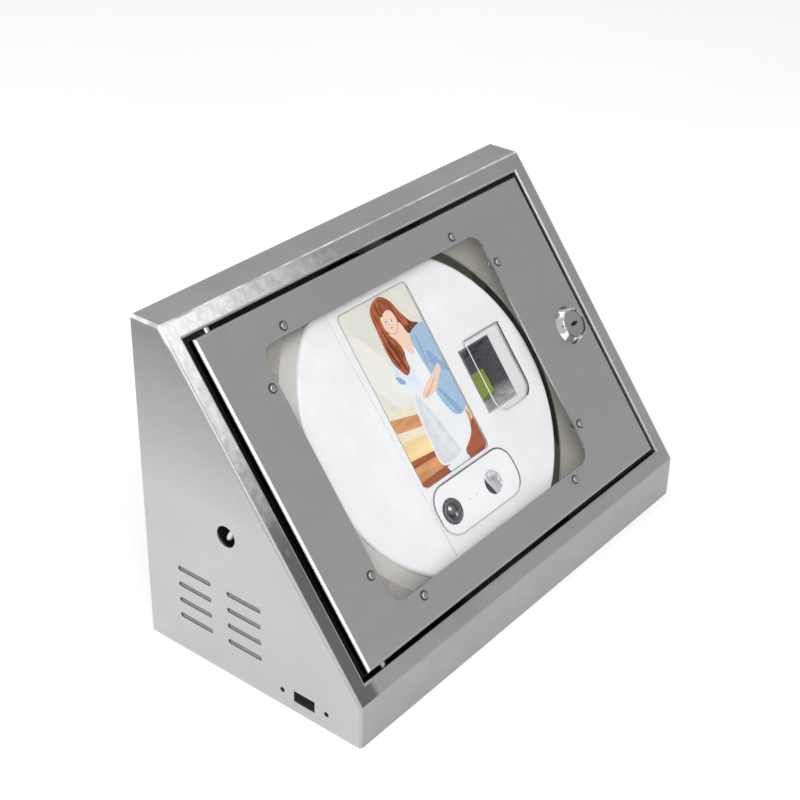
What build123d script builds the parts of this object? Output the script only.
from build123d import *
import os
from math import atan2, cos, degrees, radians, sin, sqrt, tan

# Slant-front steel cabinet holding a face and fingerprint terminal behind a lockable, windowed door.
# Millimetres. X is the width, the front faces -Y, Z is up; the origin is under the middle of the base.

# ---------------------------------------------------------------- cabinet sizes
width = 304.0
depth = 149.0
height = 196.0
top_depth = 19.5
lip_height = 26.0
sheet = 1.2
edge_r = 2.0
clearance = 0.5

# ---------------------------------------------------------------- sloping front and its opening
frame_side = 10.2
frame_bottom = 9.5
frame_top = 10.6
return_depth = 9.2
return_r = 1.8
stop_width = 6.0

run = depth - top_depth
rise = height - lip_height
slope_length = sqrt(run**2 + rise**2)
slope_angle = atan2(rise, run)
sin_a = sin(slope_angle)
cos_a = cos(slope_angle)
front_y = -depth / 2
rear_y = depth / 2
slope = Plane(origin=(0, front_y, lip_height), x_dir=(1, 0, 0), z_dir=(0, -sin_a, cos_a))

open_left = -width / 2 + frame_side
open_right = width / 2 - frame_side
open_low = frame_bottom
open_high = slope_length - frame_top
open_x = (open_left + open_right) / 2
open_s = (open_low + open_high) / 2
open_w = open_right - open_left
open_h = open_high - open_low

# ---------------------------------------------------------------- door
door_gap_left = 5.2
door_gap_right = 2.8
door_gap_end = 2.6
door_flange = 4.8
door_left = open_left + door_gap_left
door_right = open_right - door_gap_right
door_low = open_low + door_gap_end
door_high = open_high - door_gap_end
door_x = (door_left + door_right) / 2
door_s = (door_low + door_high) / 2
door_w = door_right - door_left
door_h = door_high - door_low

# ---------------------------------------------------------------- window
window_border_left = 34.8
window_border_right = 54.7
window_border_end = 19.5
window_corner = 9.0
pane_thickness = 2.5
pane_lap = 10.0
window_left = door_left + window_border_left
window_right = door_right - window_border_right
window_low = door_low + window_border_end
window_high = door_high - window_border_end
window_x = (window_left + window_right) / 2
window_s = (window_low + window_high) / 2
window_w = window_right - window_left
window_h = window_high - window_low
pane_back = sheet + pane_thickness

# ---------------------------------------------------------------- window studs
stud_r = 1.5
stud_head_r = 2.0
stud_head_height = 1.2
stud_hole_r = 1.75
stud_edge = 4.8
stud_inset_end = 20.8
stud_inset_side = 20.6
washer_r = 3.0
washer_thickness = 0.5
nut_r = 2.6
nut_thickness = 1.8
stud_end_x = window_w / 2 - stud_inset_end
stud_side_s = window_h / 2 - stud_inset_side
stud_spots = [
    (window_x - stud_end_x, window_high + stud_edge),
    (window_x + stud_end_x, window_high + stud_edge),
    (window_x - stud_end_x, window_low - stud_edge),
    (window_x + stud_end_x, window_low - stud_edge),
    (window_left - stud_edge, window_s + stud_side_s),
    (window_left - stud_edge, window_s - stud_side_s),
    (window_right + stud_edge, window_s + stud_side_s),
    (window_right + stud_edge, window_s - stud_side_s),
]

# ---------------------------------------------------------------- hinge
pivot_inset = 13.3
pivot_depth = 5.0
pin_r = 2.0
pin_head_r = 3.2
pin_head = 1.5
running_gap = 0.05
bush_wall = 1.0
bush_flange_r = 3.6
bush_flange = 0.8
bush_length = 6.0
pivot_x = door_left + pivot_inset
swing_r = sqrt(pivot_inset**2 + pivot_depth**2)
pin_reach = bush_length + 2.0

# ---------------------------------------------------------------- lock
lock_inset = 17.0
lock_s = door_s - 1.0
lock_x = door_right - lock_inset
flange_r = 12.0
flange_height = 4.0
lock_body_r = 9.0
lock_body_back = 8.6
plug_r = 6.6
dial_r = 8.25
keyway_w = 6.4
keyway_h = 1.8
keyway_depth = 6.0
lock_nut_r = 12.0
lock_nut_thickness = 3.0
cam_width = 13.0
cam_thickness = 2.0
cam_overlap = 5.0
cam_gap = 0.6
tang_side = 7.0
cam_reach = width / 2 - frame_side + sheet + cam_overlap - lock_x
cam_top = return_depth + cam_gap

# ---------------------------------------------------------------- mounting plate and rails
plate_depth = return_depth + 0.8
plate_left_gap = 2.5
plate_left = pivot_x + swing_r * sin(radians(22)) + plate_left_gap
plate_right = lock_x - lock_nut_r - 4.0
plate_low = open_low - 11.5
plate_high = open_high + 10.5
plate_x = (plate_left + plate_right) / 2
plate_s = (plate_low + plate_high) / 2
plate_w = plate_right - plate_left
plate_h = plate_high - plate_low
rail_leg = 9.0
rail_width = width - 2 * sheet

# ---------------------------------------------------------------- terminal: its features follow its radius
terminal_front = pane_back + 1.8
terminal_x = window_x + 1.2
terminal_s = window_s - 1.8
terminal_margin = 0.6
terminal_nominal_r = 93.65
terminal_r = min(window_w / 2 + terminal_margin, terminal_s - open_low - clearance)
unit = terminal_r / terminal_nominal_r
cutout_gap = 9.0
cutout_r = terminal_r + cutout_gap
stop_w = open_right - terminal_x - terminal_r * 0.62
front_shell_depth = 2.6
shell_wall = 2.2
rear_shell_back = 27.0
rear_taper = 6.0
boss_r = 48.0 * unit
boss_back = 34.0
seam = 0.6
rim_lip = 0.8
rim_behind_plate = 1.1
rim_back = plate_depth + sheet + rim_behind_plate
rim_angle = radians(187)
rim_tuck = 1.36
rim_reach = cutout_gap + rim_tuck
rim_shift = (rim_reach - clearance * 0.6) / 2
rim_flare = rim_reach - rim_shift
rim_x = terminal_x + rim_shift * cos(rim_angle)
rim_s = terminal_s + rim_shift * sin(rim_angle)

screen_w = 58.7 * unit
screen_h = 104.6 * unit
screen_corner = 2.5
screen_dx = -3.9 * unit
screen_ds = 19.6 * unit
glass_border = 0.4
fit_gap = 0.15
screen_x = terminal_x + screen_dx
screen_s = terminal_s + screen_ds
glass_x = screen_x
seam_x = screen_x - screen_w / 2 - 4.2 * unit

bar_w = 70.8 * unit
bar_h = 29.4 * unit
bar_corner = 11.5 * unit
bar_rise = 0.4
bar_base = 1.6
bar_x = terminal_x + 1.4 * unit
bar_s = terminal_s - 50.2 * unit
lens_ds = -1.1 * unit
lens_spacing = 37.8 * unit
lens_x = terminal_x - 3.9 * unit
ring_r = 6.3 * unit
lens_r = 4.7 * unit
ring_depth = 7.0
lamp_r = 0.9 * unit
lamp_spacing = 6.7 * unit

well_w = 28.0 * unit
well_h = 39.4 * unit
well_depth = 9.0
well_slope = 6.5
well_wall = 1.0
well_x = terminal_x + 51.7 * unit
well_s = terminal_s + 2.1 * unit
guard_w = 33.0 * unit
guard_h = 47.5 * unit
guard_corner = 9.0 * unit
guard_rise = 1.1
guard_dx = 9.3 * unit
guard_x = well_x + guard_dx
guard_s = well_s

display_w = 63.0 * unit
display_h = 112.0 * unit
display_thickness = 4.5
board_w = 82.0 * unit
board_h = 120.0 * unit
board_thickness = 1.6
board_depth = 20.0

# ---------------------------------------------------------------- standoffs and bracket
standoff_r = 3.5
standoff_length = 18.0
standoff_inset = 7.0
bracket_thickness = 1.5
bracket_hole_r = 58.0 * unit
screw_r = 2.0
screw_head_r = 3.6
screw_head = 1.8
corner_x = cutout_r * 0.94
corner_s = cutout_r * 0.80
bracket_depth = plate_depth + sheet + standoff_length
standoff_spots = [
    (terminal_x - corner_x, plate_s + corner_s),
    (terminal_x - corner_x, plate_s - corner_s),
    (terminal_x + corner_x, plate_s + corner_s),
    (terminal_x + corner_x, plate_s - corner_s),
]
bracket_w = 2 * corner_x + 12.0
bracket_h = 2 * corner_s + 12.0

# ---------------------------------------------------------------- rear, base and side features
rear_hole_r = 3.0
rear_hole_x = 90.5
rear_hole_low = 30.5
rear_hole_high = 166.0
cable_hole_r = 6.2
cable_y = front_y + depth * 0.6
cable_z = height * 0.459
socket_w = 14.2
socket_h = 7.0
socket_y = front_y + 37.8
socket_z = 10.1
socket_pitch = 30.0
socket_hole_r = 1.5
louvre_length = 24.0
louvre_height = 3.0
louvre_pitch_y = 35.2
louvre_pitch_z = 10.3
louvre_y = front_y + 96.4
louvre_z = 38.2
louvre_rake = 3.4


def at(x, s, d):
    """Plane parallel to the sloping front, centred at x, s along the slope and d below its surface."""
    return Plane(origin=slope.from_local_coords((x, s, -d)), x_dir=slope.x_dir, z_dir=slope.z_dir)


def along(x, s, d):
    """Plane whose normal runs up the slope, for the hinge pins and bushes."""
    return Plane(origin=slope.from_local_coords((x, s, -d)), x_dir=(1, 0, 0), z_dir=slope.y_dir)


side = Plane.YZ
outward = Axis(slope.origin, slope.z_dir)
uphill = Axis(slope.origin, slope.y_dir)
os.makedirs("parts", exist_ok=True)

# ================================================================ cabinet shell
with BuildPart() as cabinet_shell:
    # Outer box with the sloping front.
    with BuildSketch(side.offset(-width / 2)):
        with BuildLine():
            Polyline(
                (front_y, 0),
                (front_y, lip_height),
                (rear_y - top_depth, height),
                (rear_y, height),
                (rear_y, 0),
                close=True,
            )
        make_face()
    extrude(amount=width)
    # Rounded outside bends and ground weld seams.
    front_face = cabinet_shell.faces().sort_by(outward)[-1]
    lip_face = cabinet_shell.faces().sort_by(Axis.Y)[0]
    top_face = cabinet_shell.faces().sort_by(Axis.Z)[-1]
    bends = front_face.edges() + lip_face.edges().filter_by(Axis.Z)
    bends = bends + top_face.edges().filter_by(Axis.Y)
    fillet(bends, radius=edge_r)
    # Hollow inside, open at the base and the rear.
    inner_low = lip_height - sheet * (1 - cos_a) / sin_a
    inner_top_y = rear_y - top_depth + sheet * (1 - cos_a) / sin_a
    with BuildSketch(side.offset(-width / 2 + sheet)):
        with BuildLine():
            Polyline(
                (front_y + sheet, -1),
                (front_y + sheet, inner_low),
                (inner_top_y, height - sheet),
                (rear_y + 1, height - sheet),
                (rear_y + 1, -1),
                close=True,
            )
        make_face()
    extrude(amount=width - 2 * sheet, mode=Mode.SUBTRACT)
    # Bent-in return flanges round the door opening.
    with BuildSketch(at(open_x, open_s, sheet / 2)):
        Rectangle(open_w + 2 * sheet, open_h + 2 * sheet)
    extrude(amount=-(return_depth - sheet / 2))
    with BuildSketch(at(open_x, open_s, -1)):
        Rectangle(open_w, open_h)
    extrude(amount=-(return_depth + 2), mode=Mode.SUBTRACT)
    front_skin = cabinet_shell.faces().filter_by(slope).sort_by(outward)[-1]
    fillet(front_skin.inner_wires()[0].edges(), radius=return_r)
    # Stop lip at the lock side and at both corners next to it, clear of the terminal and the hinge swing.
    with BuildSketch(at(open_right - stop_w / 2, open_s, return_depth - sheet)):
        Rectangle(stop_w, open_h)
        with Locations((-stop_width / 2, 0)):
            Rectangle(stop_w - stop_width, open_h - 2 * stop_width, mode=Mode.SUBTRACT)
    extrude(amount=-sheet)
    # Holes for the two pivot pins.
    with BuildSketch(along(pivot_x, open_low - sheet - 1, pivot_depth)):
        Circle(pin_r)
    extrude(amount=sheet + 2, mode=Mode.SUBTRACT)
    with BuildSketch(along(pivot_x, open_high - 1, pivot_depth)):
        Circle(pin_r)
    extrude(amount=sheet + 2, mode=Mode.SUBTRACT)
    # Cable hole, socket opening with its screw holes, and louvre slots, all in the left side.
    with BuildSketch(side.offset(-width / 2 - 1)):
        with Locations((cable_y, cable_z)):
            Circle(cable_hole_r)
        with Locations((socket_y, socket_z)):
            Rectangle(socket_w, socket_h)
            with GridLocations(socket_pitch, 0, 2, 1):
                Circle(socket_hole_r)
        with Locations((louvre_y, louvre_z)):
            with GridLocations(louvre_pitch_y, louvre_pitch_z, 2, 4):
                SlotOverall(louvre_length, louvre_height)
    extrude(amount=sheet + 2, mode=Mode.SUBTRACT)
    # Rain vane pressed inwards behind each louvre slot.
    vane_x = -width / 2 + sheet
    for col in (-0.5, 0.5):
        for row in (-1.5, -0.5, 0.5, 1.5):
            foot = louvre_z + row * louvre_pitch_z - louvre_height / 2
            start = louvre_y + col * louvre_pitch_y - louvre_length / 2
            with BuildSketch(Plane.XZ.offset(-start)):
                with BuildLine():
                    Polyline(
                        (vane_x - sheet / 2, foot - sheet),
                        (vane_x - sheet / 2, foot),
                        (vane_x + louvre_rake, foot + louvre_height + 0.9),
                        (vane_x + louvre_rake, foot + louvre_height - 0.4),
                        close=True,
                    )
                make_face()
            extrude(amount=-louvre_length)
cabinet_shell.part.label = "cabinet_shell"
export_step(cabinet_shell.part, "parts/cabinet_shell.step")

# ================================================================ rear panel and base plate
with BuildPart() as rear_panel:
    with BuildSketch(Plane.XZ.offset(-(rear_y - sheet))):
        with Locations((0, (height - sheet) / 2)):
            Rectangle(width - 2 * sheet, height - sheet)
        with Locations((0, (rear_hole_low + rear_hole_high) / 2)):
            with GridLocations(2 * rear_hole_x, rear_hole_high - rear_hole_low, 2, 2):
                Circle(rear_hole_r, mode=Mode.SUBTRACT)
    extrude(amount=-sheet)
rear_panel.part.label = "rear_panel"
export_step(rear_panel.part, "parts/rear_panel.step")

with BuildPart() as base_plate:
    with BuildSketch(Plane.XY):
        Rectangle(width - 2 * sheet, depth - 2 * sheet)
    extrude(amount=sheet)
base_plate.part.label = "base_plate"
export_step(base_plate.part, "parts/base_plate.step")

# ================================================================ rails, mounting plate and its screws
rail_depth = plate_depth + sheet
rail_low_s = plate_low + rail_leg / 2
rail_high_s = plate_high - rail_leg / 2
plate_screw_x = plate_w / 2 - 8.0
with BuildPart() as plate_rails:
    with BuildSketch(at(0, rail_low_s, rail_depth)):
        Rectangle(rail_width, rail_leg)
    extrude(amount=-sheet)
    with BuildSketch(at(0, plate_low + sheet / 2, rail_depth)):
        Rectangle(rail_width, sheet)
    extrude(amount=-rail_leg)
    with BuildSketch(at(0, rail_high_s, rail_depth)):
        Rectangle(rail_width, rail_leg)
    extrude(amount=-sheet)
    with BuildSketch(at(0, plate_high - sheet / 2, rail_depth)):
        Rectangle(rail_width, sheet)
    extrude(amount=-rail_leg)
    for rail_s in (rail_low_s, rail_high_s):
        with BuildSketch(at(plate_x, rail_s, rail_depth)):
            with GridLocations(2 * plate_screw_x, 0, 2, 1):
                Circle(screw_r)
        extrude(amount=-sheet, mode=Mode.SUBTRACT)
plate_rails.part.label = "plate_rails"
export_step(plate_rails.part, "parts/plate_rails.step")

with BuildPart() as mounting_plate:
    with BuildSketch(at(plate_x, plate_s, plate_depth)):
        Rectangle(plate_w, plate_h)
    extrude(amount=-sheet)
    with BuildSketch(at(terminal_x, terminal_s, plate_depth)):
        Circle(cutout_r)
    extrude(amount=-sheet, mode=Mode.SUBTRACT)
    with BuildSketch(at(plate_x, plate_s, plate_depth)):
        with GridLocations(2 * plate_screw_x, rail_high_s - rail_low_s, 2, 2):
            Circle(screw_r)
    extrude(amount=-sheet, mode=Mode.SUBTRACT)
    for spot_x, spot_s in standoff_spots:
        with BuildSketch(at(spot_x, spot_s, plate_depth)):
            Circle(screw_r)
        extrude(amount=-sheet, mode=Mode.SUBTRACT)
mounting_plate.part.label = "mounting_plate"
export_step(mounting_plate.part, "parts/mounting_plate.step")

with BuildPart() as plate_screws:
    with BuildSketch(at(plate_x, plate_s, plate_depth)):
        with GridLocations(2 * plate_screw_x, rail_high_s - rail_low_s, 2, 2):
            Circle(screw_r)
    extrude(amount=-(2 * sheet + 2.5))
    with BuildSketch(at(plate_x, plate_s, plate_depth)):
        with GridLocations(2 * plate_screw_x, rail_high_s - rail_low_s, 2, 2):
            Circle(screw_head_r)
    extrude(amount=screw_head)
    with BuildSketch(at(plate_x, plate_s, plate_depth - screw_head)):
        with GridLocations(2 * plate_screw_x, rail_high_s - rail_low_s, 2, 2):
            RegularPolygon(1.4, 6)
    extrude(amount=-1.2, mode=Mode.SUBTRACT)
plate_screws.part.label = "plate_screws"
export_step(plate_screws.part, "parts/plate_screws.step")

# ================================================================ door seal
seal_w = stop_width - 2.0
seal_gap = 0.5
seal_low = return_depth - sheet
seal_high = door_flange + seal_gap
with BuildPart() as door_seal:
    with BuildSketch(at(open_right - stop_w / 2, open_s, seal_low)):
        Rectangle(stop_w, open_h)
        with Locations((-seal_w / 2, 0)):
            Rectangle(stop_w - seal_w, open_h - 2 * seal_w, mode=Mode.SUBTRACT)
    extrude(amount=seal_low - seal_high)
door_seal.part.label = "door_seal"
export_step(door_seal.part, "parts/door_seal.step")

# ================================================================ hinge pins
with BuildPart() as hinge_pins:
    with BuildSketch(along(pivot_x, door_high - pin_reach, pivot_depth)):
        Circle(pin_r)
    extrude(amount=pin_reach + door_gap_end + sheet)
    with BuildSketch(along(pivot_x, open_high + sheet, pivot_depth)):
        Circle(pin_head_r)
    extrude(amount=pin_head)
    with BuildSketch(along(pivot_x, open_low - sheet, pivot_depth)):
        Circle(pin_r)
    extrude(amount=pin_reach + door_gap_end + sheet)
    with BuildSketch(along(pivot_x, open_low - sheet - pin_head, pivot_depth)):
        Circle(pin_head_r)
    extrude(amount=pin_head)
hinge_pins.part.label = "hinge_pins"
export_step(hinge_pins.part, "parts/hinge_pins.step")

# ================================================================ standoffs, their screws and the terminal bracket
with BuildPart() as standoffs:
    for spot_x, spot_s in standoff_spots:
        with BuildSketch(at(spot_x, spot_s, plate_depth + sheet)):
            RegularPolygon(standoff_r, 6)
            Circle(screw_r, mode=Mode.SUBTRACT)
        extrude(amount=-standoff_length)
standoffs.part.label = "standoffs"
export_step(standoffs.part, "parts/standoffs.step")

screw_grip = standoff_length * 0.4
with BuildPart() as standoff_screws:
    for spot_x, spot_s in standoff_spots:
        with BuildSketch(at(spot_x, spot_s, plate_depth)):
            Circle(screw_head_r)
        extrude(amount=screw_head)
        with BuildSketch(at(spot_x, spot_s, plate_depth)):
            Circle(screw_r)
        extrude(amount=-(sheet + screw_grip))
        with BuildSketch(at(spot_x, spot_s, bracket_depth + bracket_thickness)):
            Circle(screw_head_r)
        extrude(amount=-screw_head)
        with BuildSketch(at(spot_x, spot_s, bracket_depth + bracket_thickness)):
            Circle(screw_r)
        extrude(amount=bracket_thickness + screw_grip)
standoff_screws.part.label = "standoff_screws"
export_step(standoff_screws.part, "parts/standoff_screws.step")

pad_ring = (bracket_hole_r + terminal_r - rear_taper) / 2
with BuildPart() as terminal_bracket:
    with BuildSketch(at(terminal_x, plate_s, bracket_depth)):
        RectangleRounded(bracket_w, bracket_h, 5.0)
    extrude(amount=-bracket_thickness)
    with BuildSketch(at(terminal_x, terminal_s, bracket_depth)):
        Circle(bracket_hole_r)
        with PolarLocations(pad_ring, 4, start_angle=45):
            Circle(screw_r)
    extrude(amount=-bracket_thickness, mode=Mode.SUBTRACT)
    for spot_x, spot_s in standoff_spots:
        with BuildSketch(at(spot_x, spot_s, bracket_depth)):
            Circle(screw_r)
        extrude(amount=-bracket_thickness, mode=Mode.SUBTRACT)
terminal_bracket.part.label = "terminal_bracket"
export_step(terminal_bracket.part, "parts/terminal_bracket.step")

# ================================================================ terminal front shell
shell_joint = terminal_front + front_shell_depth
with BuildPart() as terminal_front_shell:
    with BuildSketch(at(terminal_x, terminal_s, shell_joint)):
        Circle(terminal_r)
    extrude(amount=front_shell_depth)
    fillet(terminal_front_shell.edges().sort_by(outward)[-1], radius=shell_wall)
    with BuildSketch(at(terminal_x, terminal_s, shell_joint)):
        Circle(terminal_r - shell_wall)
    extrude(amount=front_shell_depth - shell_wall, mode=Mode.SUBTRACT)
    # Opening for the screen glass.
    with BuildSketch(at(screen_x, screen_s, terminal_front - 1)):
        RectangleRounded(screen_w + 2 * glass_border, screen_h + 2 * glass_border, screen_corner)
    extrude(amount=-(shell_wall + 2), mode=Mode.SUBTRACT)
    # Pocket for the camera bar, with the two lens holes.
    with BuildSketch(at(bar_x, bar_s, terminal_front)):
        RectangleRounded(bar_w + 2 * fit_gap, bar_h + 2 * fit_gap, bar_corner)
    extrude(amount=-bar_base, mode=Mode.SUBTRACT)
    with BuildSketch(at(lens_x, bar_s + lens_ds, terminal_front)):
        with GridLocations(lens_spacing, 0, 2, 1):
            Circle(ring_r)
        with GridLocations(lamp_spacing, 0, 2, 1):
            Circle(lamp_r)
    extrude(amount=-(shell_wall + 1), mode=Mode.SUBTRACT)
    # Opening for the fingerprint well.
    with BuildSketch(at(well_x, well_s, terminal_front)):
        Rectangle(well_w + 2 * fit_gap, well_h + 2 * fit_gap)
    extrude(amount=-(shell_wall + 1), mode=Mode.SUBTRACT)
    # Long panel seam beside the screen.
    with BuildSketch(at(seam_x, terminal_s, terminal_front)):
        Rectangle(seam, 2 * terminal_r + 2, rotation=1.9)
    extrude(amount=-seam, mode=Mode.SUBTRACT)
terminal_front_shell.part.label = "terminal_front_shell"
export_step(terminal_front_shell.part, "parts/terminal_front_shell.step")

# ================================================================ terminal rear shell
rear_r = terminal_r - rear_taper
pad_r = 5.0
board_pad_x = board_w / 2 - 6.0 * unit
board_pad_s = board_h / 2 - 6.0 * unit
with BuildPart() as terminal_rear_shell:
    with BuildSketch(at(terminal_x, terminal_s, shell_joint)):
        Circle(terminal_r)
    with BuildSketch(at(terminal_x, terminal_s, rear_shell_back)):
        Circle(rear_r)
    loft()
    # Sloping rim round the joint, set off-centre so that it tucks behind the plate on the hinge side only.
    with BuildSketch(at(terminal_x, terminal_s, shell_joint)):
        Circle(terminal_r)
    with BuildSketch(at(rim_x, rim_s, rim_back)):
        Circle(terminal_r + rim_flare)
    loft()
    with BuildSketch(at(rim_x, rim_s, rim_back)):
        Circle(terminal_r + rim_flare)
    extrude(amount=-rim_lip)
    # The rim's foot is cut straight, clear of the opening's lower flange.
    with BuildSketch(at(terminal_x, open_low + clearance - cutout_gap, shell_joint)):
        Rectangle(2 * cutout_r, 2 * cutout_gap)
    extrude(amount=shell_joint - rim_back - rim_lip, mode=Mode.SUBTRACT)
    with BuildSketch(at(terminal_x, terminal_s, rear_shell_back)):
        Circle(boss_r)
    extrude(amount=-(boss_back - rear_shell_back))
    with BuildSketch(at(terminal_x, terminal_s, rear_shell_back)):
        with PolarLocations(pad_ring, 4, start_angle=45):
            Circle(pad_r)
    extrude(amount=-(bracket_depth - rear_shell_back))
    # Hollow inside.
    with BuildSketch(at(terminal_x, terminal_s, shell_joint)):
        Circle(terminal_r - shell_wall)
    with BuildSketch(at(terminal_x, terminal_s, rear_shell_back - shell_wall)):
        Circle(rear_r - shell_wall)
    loft(mode=Mode.SUBTRACT)
    with BuildSketch(at(terminal_x, terminal_s, rear_shell_back - shell_wall)):
        Circle(boss_r - shell_wall)
    extrude(amount=-(boss_back - rear_shell_back), mode=Mode.SUBTRACT)
    # Screw holes in the pads and posts for the main board.
    with BuildSketch(at(terminal_x, terminal_s, bracket_depth)):
        with PolarLocations(pad_ring, 4, start_angle=45):
            Circle(screw_r)
    extrude(amount=bracket_depth - rear_shell_back + shell_wall, mode=Mode.SUBTRACT)
    with BuildSketch(at(terminal_x, terminal_s, rear_shell_back - shell_wall)):
        with GridLocations(2 * board_pad_x, 2 * board_pad_s, 2, 2):
            Circle(3.2)
            Circle(1.5, mode=Mode.SUBTRACT)
    extrude(amount=rear_shell_back - shell_wall - board_depth - board_thickness)
    # Lead opening in the middle of the back.
    with BuildSketch(at(terminal_x, terminal_s, boss_back)):
        RectangleRounded(36, 16, 3)
    extrude(amount=shell_wall + 1, mode=Mode.SUBTRACT)
terminal_rear_shell.part.label = "terminal_rear_shell"
export_step(terminal_rear_shell.part, "parts/terminal_rear_shell.step")

with BuildPart() as terminal_screws:
    with BuildSketch(at(terminal_x, terminal_s, bracket_depth + bracket_thickness)):
        with PolarLocations(pad_ring, 4, start_angle=45):
            Circle(screw_head_r)
    extrude(amount=-screw_head)
    with BuildSketch(at(terminal_x, terminal_s, bracket_depth + bracket_thickness)):
        with PolarLocations(pad_ring, 4, start_angle=45):
            Circle(screw_r)
    extrude(amount=bracket_thickness + bracket_depth - rear_shell_back + shell_wall)
terminal_screws.part.label = "terminal_screws"
export_step(terminal_screws.part, "parts/terminal_screws.step")

# ================================================================ screen
with BuildPart() as screen_glass:
    with BuildSketch(at(screen_x, screen_s, terminal_front)):
        RectangleRounded(
            screen_w + 2 * glass_border - 2 * fit_gap,
            screen_h + 2 * glass_border - 2 * fit_gap,
            screen_corner - fit_gap,
        )
    extrude(amount=-shell_wall)
screen_glass.part.label = "screen_glass"
export_step(screen_glass.part, "parts/screen_glass.step")

with BuildPart() as display_module:
    with BuildSketch(at(screen_x, screen_s, terminal_front + shell_wall)):
        Rectangle(display_w, display_h)
    extrude(amount=-display_thickness)
display_module.part.label = "display_module"
export_step(display_module.part, "parts/display_module.step")

# ================================================================ camera bar, rings, lenses and lamps
with BuildPart() as camera_bar:
    with BuildSketch(at(bar_x, bar_s, terminal_front + bar_base)):
        RectangleRounded(bar_w - 2 * fit_gap, bar_h - 2 * fit_gap, bar_corner - fit_gap)
    extrude(amount=bar_base + bar_rise)
    fillet(camera_bar.faces().sort_by(outward)[-1].edges(), radius=0.5)
    with BuildSketch(at(lens_x, bar_s + lens_ds, terminal_front + bar_base)):
        with GridLocations(lens_spacing, 0, 2, 1):
            Circle(ring_r)
        with GridLocations(lamp_spacing, 0, 2, 1):
            Circle(lamp_r)
    extrude(amount=bar_base + bar_rise + 1, mode=Mode.SUBTRACT)
camera_bar.part.label = "camera_bar"
export_step(camera_bar.part, "parts/camera_bar.step")

ring_front = terminal_front - bar_rise
for lens_name, side_sign in (("camera", -1), ("sensor", 1)):
    with BuildPart() as lens_ring:
        with BuildSketch(at(lens_x + side_sign * lens_spacing / 2, bar_s + lens_ds, ring_front)):
            Circle(ring_r)
        extrude(amount=-ring_depth)
        with BuildSketch(at(lens_x + side_sign * lens_spacing / 2, bar_s + lens_ds, ring_front + 2.0)):
            Circle(lens_r)
        with BuildSketch(at(lens_x + side_sign * lens_spacing / 2, bar_s + lens_ds, ring_front)):
            Circle(ring_r - 0.5)
        loft(mode=Mode.SUBTRACT)
        with BuildSketch(at(lens_x + side_sign * lens_spacing / 2, bar_s + lens_ds, ring_front + 2.0)):
            Circle(lens_r)
        extrude(amount=-(ring_depth - 3.0), mode=Mode.SUBTRACT)
    lens_ring.part.label = lens_name + "_ring"
    export_step(lens_ring.part, "parts/" + lens_name + "_ring.step")
    with BuildPart() as lens:
        with BuildSketch(at(lens_x + side_sign * lens_spacing / 2, bar_s + lens_ds, ring_front + ring_depth - 1.0)):
            Circle(lens_r)
        extrude(amount=ring_depth - 3.5)
        fillet(lens.edges().sort_by(outward)[-1], radius=1.6)
    lens.part.label = lens_name + "_lens"
    export_step(lens.part, "parts/" + lens_name + "_lens.step")

with BuildPart() as status_lamps:
    with BuildSketch(at(lens_x, bar_s + lens_ds, ring_front)):
        with GridLocations(lamp_spacing, 0, 2, 1):
            Circle(lamp_r)
    extrude(amount=-(bar_rise + shell_wall))
status_lamps.part.label = "status_lamps"
export_step(status_lamps.part, "parts/status_lamps.step")

# ================================================================ fingerprint reader
well_in_w = well_w - 2 * well_slope
well_in_h = well_h - 2 * well_slope
with BuildPart() as fingerprint_well:
    with BuildSketch(at(well_x, well_s, terminal_front)):
        Rectangle(well_w, well_h)
    extrude(amount=-(shell_wall + well_wall))
    with BuildSketch(at(well_x, well_s, terminal_front + shell_wall)):
        Rectangle(well_w + 4, well_h + 4)
    extrude(amount=-well_wall)
    with BuildSketch(at(well_x, well_s, terminal_front + shell_wall + well_wall)):
        Rectangle(well_w - 2, well_h - 2)
    with BuildSketch(at(well_x, well_s, terminal_front + well_depth + well_wall)):
        Rectangle(well_in_w + 2 * well_wall, well_in_h + 2 * well_wall)
    loft()
    with BuildSketch(at(well_x, well_s, terminal_front)):
        Rectangle(well_w - 2 * well_wall, well_h - 2 * well_wall)
    with BuildSketch(at(well_x, well_s, terminal_front + well_depth)):
        Rectangle(well_in_w, well_in_h)
    loft(mode=Mode.SUBTRACT)
fingerprint_well.part.label = "fingerprint_well"
export_step(fingerprint_well.part, "parts/fingerprint_well.step")

prism_h = well_in_h * 0.62
with BuildPart() as fingerprint_prism:
    prism_s = well_s - well_in_h / 2 + prism_h / 2
    with BuildSketch(at(well_x, prism_s, terminal_front + well_depth)):
        Rectangle(well_in_w, prism_h)
    with BuildSketch(at(well_x, prism_s - prism_h * 0.12, terminal_front + well_depth - 3.0)):
        Rectangle(well_in_w * 0.6, prism_h * 0.5)
    loft()
fingerprint_prism.part.label = "fingerprint_prism"
export_step(fingerprint_prism.part, "parts/fingerprint_prism.step")

with BuildPart() as fingerprint_guard:
    with BuildSketch(at(guard_x, guard_s, terminal_front)) as guard_outline:
        Rectangle(guard_w, guard_h)
        fillet(guard_outline.vertices().sort_by(Axis.Y)[:2], radius=guard_corner)
    extrude(amount=guard_rise)
    with BuildSketch(at(guard_x, guard_s, terminal_front)) as guard_pocket:
        Rectangle(guard_w - 2.4, guard_h - 2.4)
        fillet(guard_pocket.vertices().sort_by(Axis.Y)[:2], radius=guard_corner - 1.2)
    extrude(amount=guard_rise * 0.5, mode=Mode.SUBTRACT)
fingerprint_guard.part.label = "fingerprint_guard"
export_step(fingerprint_guard.part, "parts/fingerprint_guard.step")

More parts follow.
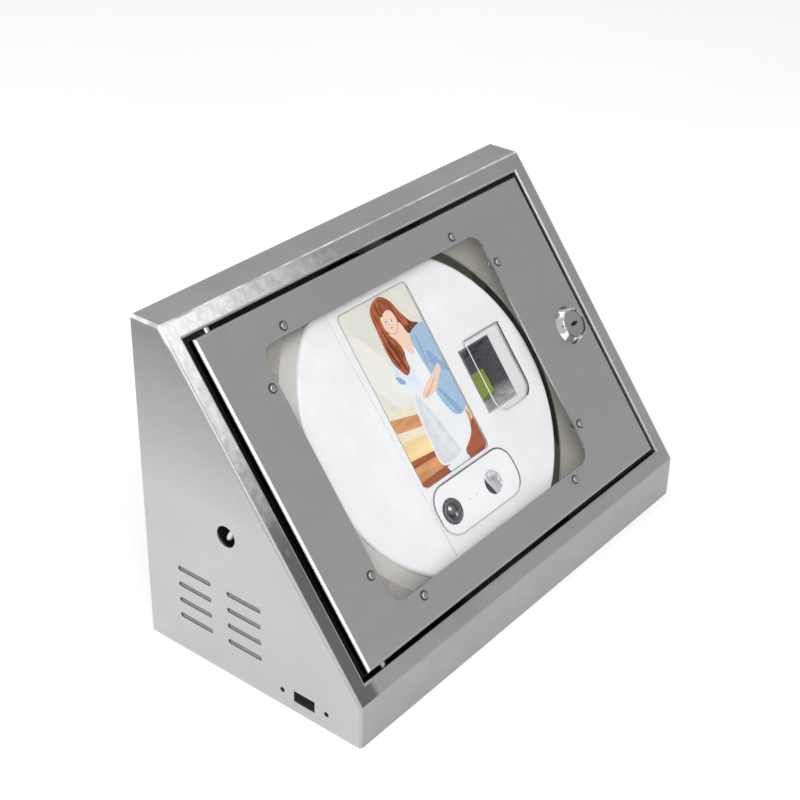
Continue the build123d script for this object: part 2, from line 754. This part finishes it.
# ================================================================ main board
with BuildPart() as main_board:
    with BuildSketch(at(terminal_x, terminal_s, board_depth)):
        Rectangle(board_w, board_h)
        with GridLocations(2 * board_pad_x, 2 * board_pad_s, 2, 2):
            Circle(1.5, mode=Mode.SUBTRACT)
    extrude(amount=-board_thickness)
    with BuildSketch(at(terminal_x, terminal_s, board_depth + board_thickness)):
        with Locations((0, 0)):
            Rectangle(30 * unit, 12 * unit)
        with GridLocations(40 * unit, 50 * unit, 2, 2):
            Rectangle(12 * unit, 12 * unit)
    extrude(amount=-2.2)
main_board.part.label = "main_board"
export_step(main_board.part, "parts/main_board.step")

with BuildPart() as board_screws:
    with BuildSketch(at(terminal_x, terminal_s, board_depth)):
        with GridLocations(2 * board_pad_x, 2 * board_pad_s, 2, 2):
            Circle(2.8)
    extrude(amount=1.6)
    with BuildSketch(at(terminal_x, terminal_s, board_depth)):
        with GridLocations(2 * board_pad_x, 2 * board_pad_s, 2, 2):
            Circle(1.5)
    extrude(amount=-(rear_shell_back - shell_wall - board_depth))
board_screws.part.label = "board_screws"
export_step(board_screws.part, "parts/board_screws.step")

# ================================================================ door panel
bush_r = pin_r + running_gap + bush_wall
ear_w = 2 * bush_r + 6.0
ear_depth = pivot_depth + bush_r + 1.8
with BuildPart() as door_panel:
    with BuildSketch(at(door_x, door_s, door_flange)):
        Rectangle(door_w, door_h)
    extrude(amount=door_flange)
    fillet(door_panel.faces().sort_by(outward)[-1].edges(), radius=return_r)
    with BuildSketch(at(door_x, door_s, door_flange)):
        Rectangle(door_w - 2 * sheet, door_h - 2 * sheet)
    extrude(amount=door_flange - sheet, mode=Mode.SUBTRACT)
    # Ears that carry the hinge bushes.
    for ear_s in (door_low + sheet / 2, door_high - sheet / 2):
        with BuildSketch(at(pivot_x, ear_s, sheet)):
            Rectangle(ear_w, sheet)
        extrude(amount=-(ear_depth - sheet))
        with BuildSketch(along(pivot_x, ear_s - sheet, pivot_depth)):
            Circle(bush_r)
        extrude(amount=2 * sheet, mode=Mode.SUBTRACT)
    # Window opening, lock hole and stud holes.
    with BuildSketch(at(window_x, window_s, sheet)):
        RectangleRounded(window_w, window_h, window_corner)
    extrude(amount=sheet, mode=Mode.SUBTRACT)
    with BuildSketch(at(lock_x, lock_s, sheet)):
        Circle(lock_body_r)
    extrude(amount=sheet, mode=Mode.SUBTRACT)
    for spot_x, spot_s in stud_spots:
        with BuildSketch(at(spot_x, spot_s, sheet)):
            Circle(stud_r)
        extrude(amount=sheet, mode=Mode.SUBTRACT)
door_panel.part.label = "door_panel"
export_step(door_panel.part, "parts/door_panel.step")

# ================================================================ window pane and its fixings
with BuildPart() as window_pane:
    with BuildSketch(at(window_x, window_s, sheet)):
        RectangleRounded(window_w + 2 * pane_lap, window_h + 2 * pane_lap, 4.0)
    extrude(amount=-pane_thickness)
    for spot_x, spot_s in stud_spots:
        with BuildSketch(at(spot_x, spot_s, sheet)):
            Circle(stud_hole_r)
        extrude(amount=-pane_thickness, mode=Mode.SUBTRACT)
window_pane.part.label = "window_pane"
export_step(window_pane.part, "parts/window_pane.step")

stud_back = pane_back + washer_thickness + nut_thickness + 0.6
with BuildPart() as window_studs:
    for spot_x, spot_s in stud_spots:
        with BuildSketch(at(spot_x, spot_s, 0)):
            Circle(stud_r)
        extrude(amount=-stud_back)
        with BuildSketch(at(spot_x, spot_s, 0)):
            Circle(stud_head_r)
        extrude(amount=stud_head_height)
    head_rims = window_studs.edges().group_by(outward)[-1]
    fillet(head_rims, radius=stud_head_height * 0.8)
window_studs.part.label = "window_studs"
export_step(window_studs.part, "parts/window_studs.step")

with BuildPart() as window_washers:
    for spot_x, spot_s in stud_spots:
        with BuildSketch(at(spot_x, spot_s, pane_back)):
            Circle(washer_r)
            Circle(stud_r, mode=Mode.SUBTRACT)
        extrude(amount=-washer_thickness)
window_washers.part.label = "window_washers"
export_step(window_washers.part, "parts/window_washers.step")

with BuildPart() as window_nuts:
    for spot_x, spot_s in stud_spots:
        with BuildSketch(at(spot_x, spot_s, pane_back + washer_thickness)):
            RegularPolygon(nut_r, 6)
            Circle(stud_r, mode=Mode.SUBTRACT)
        extrude(amount=-nut_thickness)
window_nuts.part.label = "window_nuts"
export_step(window_nuts.part, "parts/window_nuts.step")

# ================================================================ hinge bushes
with BuildPart() as hinge_bushes:
    with BuildSketch(along(pivot_x, door_high - bush_length, pivot_depth)):
        Circle(bush_r)
    extrude(amount=bush_length)
    with BuildSketch(along(pivot_x, door_high - sheet - bush_flange, pivot_depth)):
        Circle(bush_flange_r)
    extrude(amount=bush_flange)
    with BuildSketch(along(pivot_x, door_low, pivot_depth)):
        Circle(bush_r)
    extrude(amount=bush_length)
    with BuildSketch(along(pivot_x, door_low + sheet, pivot_depth)):
        Circle(bush_flange_r)
    extrude(amount=bush_flange)
    with BuildSketch(along(pivot_x, door_low - 1, pivot_depth)):
        Circle(pin_r + running_gap)
    extrude(amount=door_h + 2, mode=Mode.SUBTRACT)
hinge_bushes.part.label = "hinge_bushes"
export_step(hinge_bushes.part, "parts/hinge_bushes.step")

# ================================================================ lock
dial_seat = 1.1
with BuildPart() as lock_body:
    with BuildSketch(at(lock_x, lock_s, 0)):
        Circle(flange_r)
    with BuildSketch(at(lock_x, lock_s, -flange_height)):
        Circle(flange_r - 2.4)
    loft()
    fillet(lock_body.edges().sort_by(outward)[-1], radius=0.6)
    with BuildSketch(at(lock_x, lock_s, 0)):
        Circle(lock_body_r)
    extrude(amount=-lock_body_back)
    with BuildSketch(at(lock_x, lock_s, lock_body_back + 1)):
        Circle(plug_r + running_gap)
    extrude(amount=lock_body_back + flange_height + 2, mode=Mode.SUBTRACT)
    with BuildSketch(at(lock_x, lock_s, -flange_height - 1)):
        Circle(dial_r + 0.3)
    extrude(amount=-(dial_seat + 1.3), mode=Mode.SUBTRACT)
lock_body.part.label = "lock_body"
export_step(lock_body.part, "parts/lock_body.step")

with BuildPart() as lock_nut:
    with BuildSketch(at(lock_x, lock_s, sheet)):
        RegularPolygon(lock_nut_r, 6)
        Circle(lock_body_r, mode=Mode.SUBTRACT)
    extrude(amount=-lock_nut_thickness)
lock_nut.part.label = "lock_nut"
export_step(lock_nut.part, "parts/lock_nut.step")

dial_front = flange_height - 0.4
with BuildPart() as lock_cylinder:
    with BuildSketch(at(lock_x, lock_s, -dial_front)):
        Circle(plug_r)
    extrude(amount=-(dial_front + cam_top))
    with BuildSketch(at(lock_x, lock_s, -dial_front)):
        Circle(dial_r)
    extrude(amount=-(dial_seat - 0.4))
    with BuildSketch(at(lock_x, lock_s, cam_top)):
        Rectangle(tang_side, tang_side)
    extrude(amount=-cam_thickness)
    with BuildSketch(at(lock_x, lock_s, -dial_front)):
        Rectangle(keyway_w, keyway_h)
        Circle(keyway_h * 0.8)
    extrude(amount=-keyway_depth, mode=Mode.SUBTRACT)
    with BuildSketch(at(lock_x, lock_s, cam_top + cam_thickness)):
        Circle(screw_r)
    extrude(amount=6.0, mode=Mode.SUBTRACT)
lock_cylinder.part.label = "lock_cylinder"
export_step(lock_cylinder.part, "parts/lock_cylinder.step")

with BuildPart() as lock_cam:
    with BuildSketch(at(lock_x, lock_s, cam_top)):
        Circle(cam_width / 2)
        with Locations((0, cam_reach / 2)):
            Rectangle(cam_width, cam_reach)
        Rectangle(tang_side, tang_side, mode=Mode.SUBTRACT)
    extrude(amount=-cam_thickness)
    cam_tip = lock_cam.edges().filter_by(outward).sort_by(uphill)[-2:]
    fillet(cam_tip, radius=2.0)
lock_cam.part.label = "lock_cam"
export_step(lock_cam.part, "parts/lock_cam.step")

with BuildPart() as cam_screw:
    with BuildSketch(at(lock_x, lock_s, cam_top + cam_thickness)):
        Circle(tang_side * 0.75)
    extrude(amount=-screw_head)
    with BuildSketch(at(lock_x, lock_s, cam_top + cam_thickness)):
        Circle(screw_r)
    extrude(amount=6.0)
    with BuildSketch(at(lock_x, lock_s, cam_top + cam_thickness + screw_head)):
        Rectangle(tang_side * 1.2, 1.0)
    extrude(amount=1.0, mode=Mode.SUBTRACT)
cam_screw.part.label = "cam_screw"
export_step(cam_screw.part, "parts/cam_screw.step")
